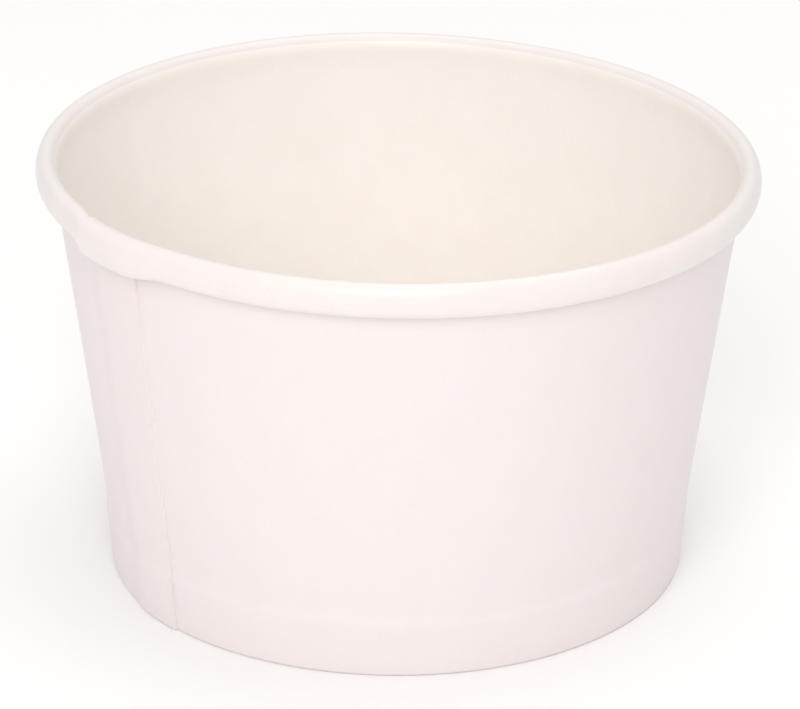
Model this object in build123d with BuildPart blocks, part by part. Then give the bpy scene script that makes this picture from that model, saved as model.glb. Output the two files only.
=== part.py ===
from build123d import *
import os
from math import cos, radians, sin

# A paper sundae cup made of two pieces of coated paperboard: a wrapped side wall, with its rim
# rolled outward and its foot folded in, and a drawn bottom whose skirt is sealed inside that fold.
# Millimetres, +Z up. The origin is the centre of the ring that the cup stands on.

# Board
board = 0.4  # thickness, taken level through the wall, which leans only a few degrees
coating = 0.02  # film of melted plastic between sealed faces

# Foot, as outside sizes
foot_radius = 36.5  # at the table
ring_height = 7.4  # the ring in which wall, skirt and hem are sealed together
ring_lean = 0.7  # how far out the ring leans over its height
shoulder_step = 0.2  # the wall above stands this far inside the top of the ring
shoulder_rise = 0.6
hem_height = 6.4  # top of the wall's folded-in margin, just under the bend of the floor
fold_radius = 0.4  # outside corners of the fold
shoulder_radius = 1.2

# Rim, as outside sizes
rim_radius = 45.0
cup_height = 54.5
roll_width = 2.7  # across the roll, the wall included
roll_height = 4.2
roll_gap = 0.1  # between the wall and the end of the roll
roll_tail = 0.8  # the cut edge is tucked up inside the roll by this much
upright_radius = 4.0  # the bend where the wall turns upright under the roll

# Lap seam: the blank's two ends overlap, the second one outside the first
lap_start = 212.0  # azimuth of the inner end's cut edge, in degrees
lap_arc = 10.2  # 8 mm at the rim
lap_step = 0.36  # one board, pressed a little into the other by the sealing
ease_in = 6.0  # arc in which the sheet climbs onto its other end
ease_out = 9.0  # arc in which the roll settles to its usual size after the lap
ease_pieces = 3

# Bottom
floor_height = 7.4  # top face of the cup's floor
floor_bend = 0.9  # outside radius of the bend from floor to skirt

wall_face = rim_radius - roll_width + board  # radius of the wall's outside face within the roll

# How far each layer stands from its usual place, in four states of the sheet
plain = dict(wall_out=0, hem_in=0, roll_out=0, roll_sink=0, roll_drop=0, gap=roll_gap)
inner_end = dict(
    wall_out=0, hem_in=0, roll_out=2 * lap_step, roll_sink=0, roll_drop=2 * lap_step, gap=roll_gap + lap_step
)
outer_end = dict(
    wall_out=lap_step,
    hem_in=lap_step,
    roll_out=lap_step,
    roll_sink=lap_step,
    roll_drop=lap_step,
    gap=roll_gap + lap_step,
)


def between(first, second, share):
    # The state part of the way from one to another
    return {name: first[name] + share * (second[name] - first[name]) for name in first}


def radial_plane(azimuth):
    # X runs outward from the cup's axis and Y runs up
    outward = (cos(radians(azimuth)), sin(radians(azimuth)), 0)
    sideways = (sin(radians(azimuth)), -cos(radians(azimuth)), 0)
    return Plane(origin=(0, 0, 0), x_dir=outward, z_dir=sideways)


def leaned(height):
    # How far out the base ring has leaned at a height
    return ring_lean * height / ring_height


def sheet_section(azimuth, wall_out, hem_in, roll_out, roll_sink, roll_drop, gap):
    # The sheet cut through at one azimuth, from the hem's edge to the edge inside the roll
    foot = foot_radius + wall_out
    hem = foot_radius - 3 * board - 2 * coating - hem_in
    shoulder_height = ring_height + shoulder_rise
    shoulder = foot + leaned(ring_height) - shoulder_step
    roll_foot = cup_height - roll_height
    wall = wall_face + wall_out
    roll = rim_radius + roll_out
    top_radius = (roll - wall + board) / 2
    top_centre = (roll - top_radius, cup_height - roll_sink - top_radius)
    low_radius = (roll - wall - gap) / 2
    low_centre = (roll - low_radius, roll_foot - roll_drop + low_radius)
    tail_top = low_centre[1] + roll_tail

    with BuildSketch(radial_plane(azimuth)) as section:
        with BuildLine():
            # The face that is outside on the wall, from the hem round the fold and up into the roll
            outside = FilletPolyline(
                (hem + leaned(hem_height), hem_height),
                (hem, 0),
                (foot, 0),
                (foot + leaned(ring_height), ring_height),
                (shoulder, shoulder_height),
                (wall, roll_foot),
                (wall, top_centre[1]),
                radius=[fold_radius, fold_radius, shoulder_radius, shoulder_radius, upright_radius],
            )
            CenterArc(top_centre, top_radius - board, 180, -180)
            Line((roll - board, top_centre[1]), (roll - board, low_centre[1]))
            CenterArc(low_centre, low_radius - board, 0, -180)
            Line((wall + gap + board, low_centre[1]), (wall + gap + board, tail_top))
            # The cut edge inside the roll
            Line((wall + gap + board, tail_top), (wall + gap, tail_top))
            # The face that is inside on the wall and outside on the roll, back to the hem
            Line((wall + gap, tail_top), (wall + gap, low_centre[1]))
            CenterArc(low_centre, low_radius, 180, 180)
            Line((roll, low_centre[1]), (roll, top_centre[1]))
            CenterArc(top_centre, top_radius, 0, 180)
            inside = FilletPolyline(
                (wall - board, top_centre[1]),
                (wall - board, roll_foot),
                (shoulder - board, shoulder_height),
                (foot - board + leaned(ring_height), ring_height),
                (foot - board + leaned(board), board),
                (hem + board + leaned(board), board),
                (hem + board + leaned(hem_height), hem_height),
                radius=[upright_radius, shoulder_radius, shoulder_radius, 0, 0],
            )
            Line(inside @ 1, outside @ 0)
        make_face()
    return section.sketch


def eased(start, arc, first, second):
    # Sections across an arc in which the sheet passes from one state to another
    shares = [step / ease_pieces for step in range(ease_pieces + 1)]
    return [sheet_section(start + share * arc, **between(first, second, share)) for share in shares]


# Side wall: once round as a plain sheet, then up over its own end, and both ends through the lap
lap_end = lap_start + lap_arc
plain_start = lap_end + ease_out
plain_arc = 360 - ease_in - lap_arc - ease_out

with BuildPart() as side_wall:
    revolve(sheet_section(plain_start, **plain), axis=Axis.Z, revolution_arc=plain_arc)
    loft(eased(lap_start - ease_in, ease_in, plain, outer_end), ruled=True)
    revolve(sheet_section(lap_start, **outer_end), axis=Axis.Z, revolution_arc=lap_arc)
    revolve(sheet_section(lap_start, **inner_end), axis=Axis.Z, revolution_arc=lap_arc)
    loft(eased(lap_end, ease_out, inner_end, plain), ruled=True)
side_wall.part.label = "side_wall"

# Bottom: a flat floor, bent down at its edge into a skirt that fills the fold of the wall
skirt = foot_radius - board - coating
skirt_edge = board + coating
floor_edge = skirt + leaned(floor_height)
floor_underside = floor_height - board

with BuildPart() as bottom_disc:
    with BuildSketch(Plane.XZ):
        with BuildLine():
            Line((0, floor_underside), (0, floor_height))
            FilletPolyline(
                (0, floor_height),
                (floor_edge, floor_height),
                (skirt + leaned(skirt_edge), skirt_edge),
                radius=floor_bend,
            )
            Line((skirt + leaned(skirt_edge), skirt_edge), (skirt - board + leaned(skirt_edge), skirt_edge))
            FilletPolyline(
                (skirt - board + leaned(skirt_edge), skirt_edge),
                (skirt - board + leaned(floor_underside), floor_underside),
                (0, floor_underside),
                radius=floor_bend - board,
            )
        make_face()
    revolve(axis=Axis.Z)
bottom_disc.part.label = "bottom_disc"

os.makedirs("parts", exist_ok=True)
export_step(side_wall.part, "parts/side_wall.step")
export_step(bottom_disc.part, "parts/bottom_disc.step")
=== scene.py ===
import math

import bmesh
import bpy
from mathutils import Matrix, Vector


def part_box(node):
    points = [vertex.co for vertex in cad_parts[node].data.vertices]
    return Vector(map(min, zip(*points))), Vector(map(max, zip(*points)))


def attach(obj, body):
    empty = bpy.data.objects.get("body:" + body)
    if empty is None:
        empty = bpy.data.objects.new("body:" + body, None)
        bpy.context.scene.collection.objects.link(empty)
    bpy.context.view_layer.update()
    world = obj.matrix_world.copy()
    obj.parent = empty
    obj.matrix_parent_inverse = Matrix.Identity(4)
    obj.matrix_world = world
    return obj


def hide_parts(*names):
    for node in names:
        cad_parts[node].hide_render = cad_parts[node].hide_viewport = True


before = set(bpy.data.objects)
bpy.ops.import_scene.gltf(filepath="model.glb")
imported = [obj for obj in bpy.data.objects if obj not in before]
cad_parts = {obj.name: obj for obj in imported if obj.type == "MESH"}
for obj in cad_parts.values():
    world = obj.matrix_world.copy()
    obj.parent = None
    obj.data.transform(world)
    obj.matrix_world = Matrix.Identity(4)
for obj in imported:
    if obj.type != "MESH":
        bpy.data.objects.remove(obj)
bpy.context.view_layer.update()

mm = 0.001
wallLow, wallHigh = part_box("side_wall")
rimRadius = (wallHigh[0] - wallLow[0]) / 2
cupHeight = wallHigh[2]
print("frame loaded, cup", round(2 * rimRadius / mm, 1), "mm over the rim")

# material slots, in the order that both pieces are given them
outsideFace, insideFace, cutEdge, paintedShadeRollFace = range(4)


def smooth(x):
    # eased step from 0 to 1
    x = min(max(x, 0.0), 1.0)
    return x * x * (3 - 2 * x)


def blend(a, b, share):
    return a + (b - a) * share


# the cup as it stands, a little out of round from handling
form = {
    "ovalAmount": 0.9 * mm,     # the rim's radius grows this much one way and shrinks as much across
    "ovalTurn": 315.0,          # azimuth of the wide way, degrees
    "ovalGrowth": 1.4,          # power of the height by which the oval grows
    "rimTuck": 0.1 * mm,        # keeps the oval rim inside the round one's box
    "rimDip": 0.25 * mm,        # how far the rim sinks along its low way
    "rimDipTurn": 200.0,        # degrees
    "rimDipGrowth": 6,          # power of the height, so that only the top sinks
    "wallSlack": 0.12 * mm,     # faint long waves of the rolled blank
    "slackWaves": 5,            # round the cup
    "slackTurn": 0.6,           # radians
    "slackReach": 1.1,          # the waves die out just under the rim
}


def settle(radius, height, azimuth):
    # moves a point of the round cup to where the handled cup has it
    turn = math.radians(azimuth)
    rise = max(height, 0.0) / cupHeight
    oval = math.cos(2 * (turn - math.radians(form["ovalTurn"]))) * rise ** form["ovalGrowth"]
    reach = math.sin(math.pi * min(rise * form["slackReach"], 1.0))
    slack = math.sin(form["slackWaves"] * turn + form["slackTurn"]) * reach
    r = radius + form["ovalAmount"] * oval - form["rimTuck"] * rise + form["wallSlack"] * slack
    low = 0.5 + 0.5 * math.cos(2 * (turn - math.radians(form["rimDipTurn"])))
    z = height - form["rimDip"] * low * rise ** form["rimDipGrowth"]
    return Vector((r * math.cos(turn), r * math.sin(turn), z))


# side wall: one sheet, from the hem's edge under the cup to the edge inside the roll
wall = {
    "board": 0.4 * mm,
    "coating": 0.02 * mm,
    "footRadius": 36.5 * mm,
    "ringHeight": 7.4 * mm,     # folded ring that the cup stands on
    "ringLean": 0.7 * mm,       # how much wider the ring is at its top
    "hemHeight": 6.4 * mm,
    "foldRadius": 0.25 * mm,    # middle of the sheet
    "shoulderStep": 0.2 * mm,   # the wall leaves the ring this much further in
    "shoulderLow": 0.35 * mm,   # the step starts this far under the ring's top
    "shoulderHigh": 0.85 * mm,  # and ends this far over it
    "shoulderEase": 0.04 * mm,  # the ring's top is pressed in by this much
    "shoulderPress": 0.03 * mm,  # the foot of the wall above it is left out by this much
    "rollWidth": 2.7 * mm,
    "rollHeight": 4.2 * mm,
    "rollBend": 0.2 * mm,       # over the roll's low point, where the wall turns upright
    "rollBendShare": 0.35,      # of the way from there to the roll's middle
    "rollGap": 0.12 * mm,       # from the wall to the edge inside the roll
    "rollSwell": 0.12 * mm,     # slow change of the roll's size round the rim
    "rollSwellTurn": 2.2,       # radians
    "underTurn": 60.0,          # degrees that the sheet turns on past the roll's lowest point
    "tail": 0.8 * mm,           # straight edge inside the roll
    "tailLean": 0.02 * mm,
    "lapStart": 212.0,          # azimuth of the inner end's cut edge, degrees
    "lapArc": 10.2,
    "lapStep": 0.42 * mm,
    "easeIn": 6.0,              # degrees over which the outer end lifts off the wall
    "easeOut": 9.0,             # degrees over which the roll settles after the lap
    "knurls": 135,              # pressed marks round the inside of the hem
    "knurlDepth": 0.035 * mm,
    "knurlPoints": 7,           # steps of the section that carry them, from the hem's edge
    "hemSteps": 8,
    "foldSteps": 5,
    "ringSteps": 9,
    "shoulderSteps": 8,
    "wallSteps": 22,
    "uprightSteps": 6,
    "rollSteps": 40,
    "underSteps": 9,
    "tailSteps": 3,
    "rollFaceSteps": 46,        # from the edge inside the roll to just past its top
    "stepsRound": 360,
}

# how far each part of the section moves where the blank laps itself, in lap steps
plainState = {"wallOut": 0.0, "hemIn": 0.0, "rollOut": 0.0, "rollSink": 0.0, "rollDrop": 0.0, "gap": 0.0}
innerState = dict(plainState, rollOut=2.0, rollDrop=2.0, gap=1.0)
outerState = dict.fromkeys(plainState, 1.0)


def stateAt(travel):
    # travel runs in degrees from the inner end's cut edge, once round and over itself
    settled = wall["lapArc"] + wall["easeOut"]
    lifting = 360 - wall["easeIn"]
    if travel <= settled:
        start, end, share = innerState, plainState, smooth((travel - wall["lapArc"]) / wall["easeOut"])
    else:
        start, end, share = plainState, outerState, smooth((travel - lifting) / wall["easeIn"])
    return {name: blend(start[name], end[name], share) * wall["lapStep"] for name in plainState}


def arcPoints(centre, wide, tall, start, end, count):
    points = []
    for k in range(count + 1):
        angle = math.radians(blend(start, end, k / count))
        points.append((centre[0] + wide * math.cos(angle), centre[1] + tall * math.sin(angle)))
    return points


def linePoints(start, end, count):
    shares = [k / count for k in range(count + 1)]
    return [(blend(start[0], end[0], share), blend(start[1], end[1], share)) for share in shares]


def ringLine(state):
    # hem, fold and foot, up to where the wall steps off the ring; points are radius and height
    half = wall["board"] / 2
    fold = wall["foldRadius"]
    lean = wall["ringLean"] / wall["ringHeight"]
    hem = wall["footRadius"] - 2.5 * wall["board"] - 2 * wall["coating"] - state["hemIn"]
    foot = wall["footRadius"] - half + state["wallOut"]
    hemTop = (hem + lean * wall["hemHeight"], wall["hemHeight"])
    points = linePoints(hemTop, (hem, fold + half), wall["hemSteps"])
    points += arcPoints((hem + fold, fold + half), fold, fold, 180, 270, wall["foldSteps"])[1:]
    points += arcPoints((foot - fold, fold + half), fold, fold, 270, 360, wall["foldSteps"])
    ringTop = (foot + wall["ringLean"] - wall["shoulderEase"], wall["ringHeight"] - wall["shoulderLow"])
    points += linePoints((foot + lean * fold, fold + half), ringTop, wall["ringSteps"])[1:]
    wallFoot = foot + wall["ringLean"] - wall["shoulderStep"] + wall["shoulderPress"]
    shoulder = (wallFoot, wall["ringHeight"] + wall["shoulderHigh"])
    for k in range(1, wall["shoulderSteps"] + 1):
        share = k / wall["shoulderSteps"]
        points.append((blend(ringTop[0], shoulder[0], smooth(share)), blend(ringTop[1], shoulder[1], share)))
    return points


def rimLine(state, swell, shoulder):
    # straight wall, the turn upright, the roll and the edge inside it
    half = wall["board"] / 2
    inside = rimRadius - wall["rollWidth"] + half + state["wallOut"]
    outside = rimRadius - half + state["rollOut"]
    top = cupHeight - half - state["rollSink"]
    low = cupHeight - wall["rollHeight"] + half - state["rollDrop"] - swell
    middle = (top + low) / 2
    bendStart = low + wall["rollBend"]
    slope = (inside - shoulder[0]) / (bendStart - shoulder[1])
    drop = (middle - bendStart) * wall["rollBendShare"]
    points = linePoints(shoulder, (inside - slope * drop, bendStart - drop), wall["wallSteps"])[1:]
    for k in range(1, wall["uprightSteps"]):
        share = k / wall["uprightSteps"]
        points.append((inside - (1 - share) ** 2 * slope * drop, blend(bendStart - drop, middle, share)))
    centre = (inside + (outside - inside) / 2, middle)
    tall = (top - low) / 2
    points += arcPoints(centre, (outside - inside) / 2, tall, 180, -90, wall["rollSteps"])
    tailRadius = inside + wall["board"] + wall["rollGap"] + state["gap"]
    underEnd = -90 - wall["underTurn"]
    points += arcPoints(centre, centre[0] - tailRadius, tall, -90, underEnd, wall["underSteps"])[1:]
    tailFoot = points[-1]
    tailTop = (tailRadius + wall["tailLean"], tailFoot[1] + wall["tail"])
    points += linePoints(tailFoot, tailTop, wall["tailSteps"])[1:]
    return points


def offsetLine(points, amount):
    moved = []
    for k, point in enumerate(points):
        before = points[max(k - 1, 0)]
        after = points[min(k + 1, len(points) - 1)]
        run = math.hypot(after[0] - before[0], after[1] - before[1]) or 1.0
        across = ((after[1] - before[1]) / run, -(after[0] - before[0]) / run)
        moved.append((point[0] + across[0] * amount, point[1] + across[1] * amount))
    return moved


def wallSection(travel):
    # closed outline of the sheet at one azimuth: up its outside face and back down its inside face
    azimuth = wall["lapStart"] + travel
    turn = math.radians(azimuth)
    state = stateAt(travel)
    swell = wall["rollSwell"] * (0.5 + 0.5 * math.sin(2 * turn - wall["rollSwellTurn"]))
    middle = ringLine(state)
    middle += rimLine(state, swell, middle[-1])
    outer = offsetLine(middle, wall["board"] / 2)
    inner = offsetLine(middle, -wall["board"] / 2)
    knurl = wall["knurlDepth"] * math.cos(turn * wall["knurls"])
    marked = wall["knurlPoints"]
    outer[:marked] = [(r + knurl, z) for r, z in outer[:marked]]
    return [settle(r, z, azimuth) for r, z in outer + inner[::-1]]


def wallSlot(k, half):
    # the face of the board that step k of the section belongs to
    if k in (half - 1, 2 * half - 1):
        return cutEdge
    if k < half:
        return outsideFace
    # the roll's faces take the board whose darker tone is painted shade
    return paintedShadeRollFace if k < half + wall["rollFaceSteps"] else insideFace


def newPiece(name, bm):
    mesh = bpy.data.meshes.new(name)
    bmesh.ops.recalc_face_normals(bm, faces=bm.faces)
    bm.to_mesh(mesh)
    bm.free()
    piece = bpy.data.objects.new(name, mesh)
    bpy.context.scene.collection.objects.link(piece)
    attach(piece, "root")
    return piece


def buildSideWall():
    bm = bmesh.new()
    total = 360 + wall["lapArc"]
    count = round(wall["stepsRound"] * total / 360)
    travels = [total * step / count for step in range(count + 1)]
    rings = [[bm.verts.new(point) for point in wallSection(travel)] for travel in travels]
    size = len(rings[0])
    half = size // 2
    for near, far in zip(rings[:-1], rings[1:]):
        for k in range(size):
            after = (k + 1) % size
            face = bm.faces.new((near[k], near[after], far[after], far[k]))
            face.material_index = wallSlot(k, half)
            face.smooth = face.material_index != cutEdge
    for ring, flip in ((rings[0], False), (rings[-1], True)):
        for k in range(half - 1):
            corners = (ring[k], ring[k + 1], ring[size - 2 - k], ring[size - 1 - k])
            face = bm.faces.new(corners if flip else corners[::-1])
            face.material_index = cutEdge
    for edge in bm.edges:
        slots = {face.material_index for face in edge.link_faces}
        if cutEdge in slots and len(slots) > 1:
            edge.smooth = False
    return newPiece("sideWall", bm)


# bottom: a drawn disc, dished a little, with its skirt down inside the fold
disc = {
    "board": 0.4 * mm,
    "floorHeight": 7.4 * mm,
    "dish": 0.25 * mm,          # the middle of the floor sits this much low
    "bend": 0.7 * mm,           # middle of the sheet
    "skirtFoot": 0.45 * mm,
    "skirtEase": 0.05 * mm,     # the skirt stands this much off the wall at its top
    "clearance": 0.02 * mm,
    "floorSteps": 24,
    "floorCrowding": 0.8,       # under 1 the steps crowd towards the bend
    "bendSteps": 8,
    "skirtSteps": 8,
    "stepsRound": 240,
}


def discLine():
    # middle of the sheet from near the centre to the skirt's edge
    half = disc["board"] / 2
    lean = wall["ringLean"] / wall["ringHeight"]
    skirt = wall["footRadius"] - wall["board"] - disc["clearance"] - half
    floor = disc["floorHeight"] - half
    edge = skirt + lean * floor - disc["skirtEase"]
    bend = disc["bend"]
    flat = edge - bend
    points = []
    for k in range(1, disc["floorSteps"] + 1):
        r = flat * (k / disc["floorSteps"]) ** disc["floorCrowding"]
        points.append((r, floor - disc["dish"] * (1 - (r / flat) ** 2)))
    points += arcPoints((flat, floor - bend), bend, bend, 90, 0, disc["bendSteps"])[1:]
    skirtEnd = (skirt + lean * disc["skirtFoot"], disc["skirtFoot"])
    points += linePoints((edge, floor - bend), skirtEnd, disc["skirtSteps"])[1:]
    return points


def buildBottomDisc():
    middle = discLine()
    top = offsetLine(middle, -disc["board"] / 2)
    under = offsetLine(middle, disc["board"] / 2)
    profile = top + under[::-1]
    bm = bmesh.new()
    rings = []
    for step in range(disc["stepsRound"]):
        turn = 2 * math.pi * step / disc["stepsRound"]
        rings.append([bm.verts.new((r * math.cos(turn), r * math.sin(turn), z)) for r, z in profile])
    pairs = list(zip(rings, rings[1:] + rings[:1]))
    for near, far in pairs:
        for k in range(len(profile) - 1):
            face = bm.faces.new((near[k], near[k + 1], far[k + 1], far[k]))
            side = insideFace if k < len(top) else outsideFace
            face.material_index = cutEdge if k == len(top) - 1 else side
            face.smooth = face.material_index != cutEdge
    for index, slot in ((0, insideFace), (len(profile) - 1, outsideFace)):
        centre = bm.verts.new((0, 0, rings[0][index].co.z))
        for near, far in pairs:
            face = bm.faces.new((centre, near[index], far[index]))
            face.material_index = slot
            face.smooth = True
    return newPiece("bottomDisc", bm)


# board finishes, in the order of the material slots; the roll's darker tone is painted shade, and the
# inside's tone is partly painted warm bounce light
boardLook = {
    "outside": {"tone": (0.85, 0.79, 0.78), "shade": (0.842, 0.778, 0.768),
                "roughness": 0.42, "fibre": 0.012},
    # the inside is the same white board as the outside; its warmer, lighter tone is partly the board's own
    # cream and partly painted warm bounce light from inside the cup
    "inside": {"tone": (0.945, 0.908, 0.868), "shade": (0.932, 0.89, 0.845),
               "roughness": 0.36, "fibre": 0.009},
    "cutEdge": {"tone": (0.86, 0.81, 0.8), "shade": (0.84, 0.79, 0.78),
                "roughness": 0.7, "fibre": 0.05},
    # the roll is the inside face of the same sheet; its darker tone is painted shade, set to match how the
    # roll looks lit
    "roll": {"tone": (0.86, 0.812, 0.79), "shade": (0.84, 0.79, 0.765),
             "roughness": 0.33, "fibre": 0.011},
}

paper = {
    "gloss": 0.42,
    "sheen": 0.06,
    "sheenRoughness": 0.5,
    "cloud": {"Scale": 210, "Detail": 5, "Roughness": 0.62},    # uneven formation, a few millimetres across
    "fibre": {"Scale": 2600, "Detail": 6, "Roughness": 0.7, "Distortion": 0.8},
    "rub": {"Scale": 60, "Detail": 8},                          # faint handling marks that change the gloss
    "fibreStretch": (1.0, 1.0, 0.35),
    "cloudRange": (0.3, 0.62),
    "grainShare": 0.05,
    "rubRange": (-0.05, 0.09),
    "reliefStrength": 0.5,
}


def addNoise(tree, values, vector):
    noise = tree.nodes.new("ShaderNodeTexNoise")
    for name, value in values.items():
        noise.inputs[name].default_value = value
    tree.links.new(vector, noise.inputs["Vector"])
    return noise


def boardMaterial(name, look):
    material = bpy.data.materials.new(name)
    material.use_nodes = True
    tree = material.node_tree
    nodes, links = tree.nodes, tree.links
    shader = nodes["Principled BSDF"]
    shader.inputs["Specular IOR Level"].default_value = paper["gloss"]
    shader.inputs["Sheen Weight"].default_value = paper["sheen"]
    shader.inputs["Sheen Roughness"].default_value = paper["sheenRoughness"]
    place = nodes.new("ShaderNodeTexCoord").outputs["Object"]
    stretch = nodes.new("ShaderNodeMapping")
    stretch.inputs["Scale"].default_value = paper["fibreStretch"]
    links.new(place, stretch.inputs["Vector"])
    cloud = addNoise(tree, paper["cloud"], place)
    rub = addNoise(tree, paper["rub"], place)
    fibre = addNoise(tree, paper["fibre"], stretch.outputs["Vector"])
    tones = nodes.new("ShaderNodeValToRGB")
    for element, position, tone in zip(tones.color_ramp.elements, paper["cloudRange"], ("shade", "tone")):
        element.position = position
        element.color = (*look[tone], 1)
    links.new(cloud.outputs["Fac"], tones.inputs["Fac"])
    grain = nodes.new("ShaderNodeMix")
    grain.data_type = "RGBA"
    grain.blend_type = "MULTIPLY"
    grain.inputs["Factor"].default_value = paper["grainShare"]
    links.new(tones.outputs["Color"], grain.inputs["A"])
    links.new(fibre.outputs["Color"], grain.inputs["B"])
    links.new(grain.outputs["Result"], shader.inputs["Base Color"])
    gloss = nodes.new("ShaderNodeMapRange")
    gloss.inputs["To Min"].default_value = look["roughness"] + paper["rubRange"][0]
    gloss.inputs["To Max"].default_value = look["roughness"] + paper["rubRange"][1]
    links.new(rub.outputs["Fac"], gloss.inputs["Value"])
    links.new(gloss.outputs["Result"], shader.inputs["Roughness"])
    relief = nodes.new("ShaderNodeBump")
    relief.inputs["Strength"].default_value = paper["reliefStrength"]
    relief.inputs["Distance"].default_value = look["fibre"] * mm
    links.new(fibre.outputs["Fac"], relief.inputs["Height"])
    links.new(relief.outputs["Normal"], shader.inputs["Normal"])
    return material


boards = [boardMaterial(name + "Board", look) for name, look in boardLook.items()]
print("board finishes made")

sideWall = buildSideWall()
bottomDisc = buildBottomDisc()
for piece, node in ((sideWall, "side_wall"), (bottomDisc, "bottom_disc")):
    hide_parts(node)
    for board in boards:
        piece.data.materials.append(board)
print("cup built,", sum(len(piece.data.polygons) for piece in (sideWall, bottomDisc)), "faces")

# plain pale studio
studio = {
    "floorSize": 3.0,
    "floorTone": (0.97, 0.97, 0.97),
    "floorRoughness": 0.9,
    "floorGloss": 0.1,
    "skyTone": (1, 1, 1),
    "skyStrength": 0.62,
    "keyPower": 4.7,
    "keySize": 0.7,
    "keyPlace": (-0.12, -0.85, 0.62),
    "keyTone": (1.0, 0.95, 0.945),
    "topPower": 2.9,
    "topSize": 0.9,
    "topPlace": (0.1, 0.15, 0.95),
    "topTone": (1.0, 0.985, 0.96),
}


def floorPaint():
    paint = bpy.data.materials.new("studioPaint")
    paint.use_nodes = True
    shader = paint.node_tree.nodes["Principled BSDF"]
    shader.inputs["Base Color"].default_value = (*studio["floorTone"], 1)
    shader.inputs["Roughness"].default_value = studio["floorRoughness"]
    shader.inputs["Specular IOR Level"].default_value = studio["floorGloss"]
    return paint


def buildFloor():
    bm = bmesh.new()
    bmesh.ops.create_grid(bm, x_segments=8, y_segments=8, size=studio["floorSize"] / 2)
    mesh = bpy.data.meshes.new("studioFloor")
    bm.to_mesh(mesh)
    bm.free()
    mesh.materials.append(floorPaint())
    floor = bpy.data.objects.new("studioFloor", mesh)
    bpy.context.scene.collection.objects.link(floor)


def softLight(name):
    light = bpy.data.lights.new(name + "Light", "AREA")
    light.shape = "DISK"
    light.size = studio[name + "Size"]
    light.energy = studio[name + "Power"]
    light.color = studio[name + "Tone"]
    lamp = bpy.data.objects.new(name + "Light", light)
    bpy.context.scene.collection.objects.link(lamp)
    lamp.location = studio[name + "Place"]
    aim = Vector((0, 0, cupHeight / 2)) - lamp.location
    lamp.rotation_euler = aim.to_track_quat("-Z", "Y").to_euler()


def paleSky():
    world = bpy.data.worlds.new("studioSky")
    bpy.context.scene.world = world
    world.use_nodes = True
    background = world.node_tree.nodes["Background"]
    background.inputs["Color"].default_value = (*studio["skyTone"], 1)
    background.inputs["Strength"].default_value = studio["skyStrength"]


buildFloor()
softLight("key")
softLight("top")
paleSky()
bpy.context.scene.view_settings.view_transform = "Standard"
print("studio lit")

# camera, a long lens looking down into the cup from the front
view = {
    "elevation": 23.47,         # degrees above level
    "distance": 0.534,
    "aimHeight": 0.02714,
    "roll": 0.22,               # degrees
    "sensor": 36.0,             # millimetres, as is the lens
    "lens": 190.017,
    "shiftRight": 0.003875,
    "shiftUp": -0.004375,
}


def buildCamera():
    rise = math.radians(view["elevation"])
    back = Vector((0, -math.cos(rise), math.sin(rise)))
    right = Vector((1, 0, 0))
    up = right.cross(-back)
    tilt = math.radians(view["roll"])
    camRight = math.cos(tilt) * right + math.sin(tilt) * up
    camUp = -math.sin(tilt) * right + math.cos(tilt) * up
    data = bpy.data.cameras.new("studioCamera")
    data.sensor_width = view["sensor"]
    data.lens = view["lens"]
    data.shift_x = view["shiftRight"]
    data.shift_y = view["shiftUp"]
    camera = bpy.data.objects.new("studioCamera", data)
    bpy.context.scene.collection.objects.link(camera)
    turn = Matrix((camRight, camUp, back)).transposed().to_4x4()
    place = back * view["distance"] + Vector((0, 0, view["aimHeight"]))
    camera.matrix_world = Matrix.Translation(place) @ turn
    bpy.context.scene.camera = camera


buildCamera()
print("camera placed")

bpy.context.view_layer.update()
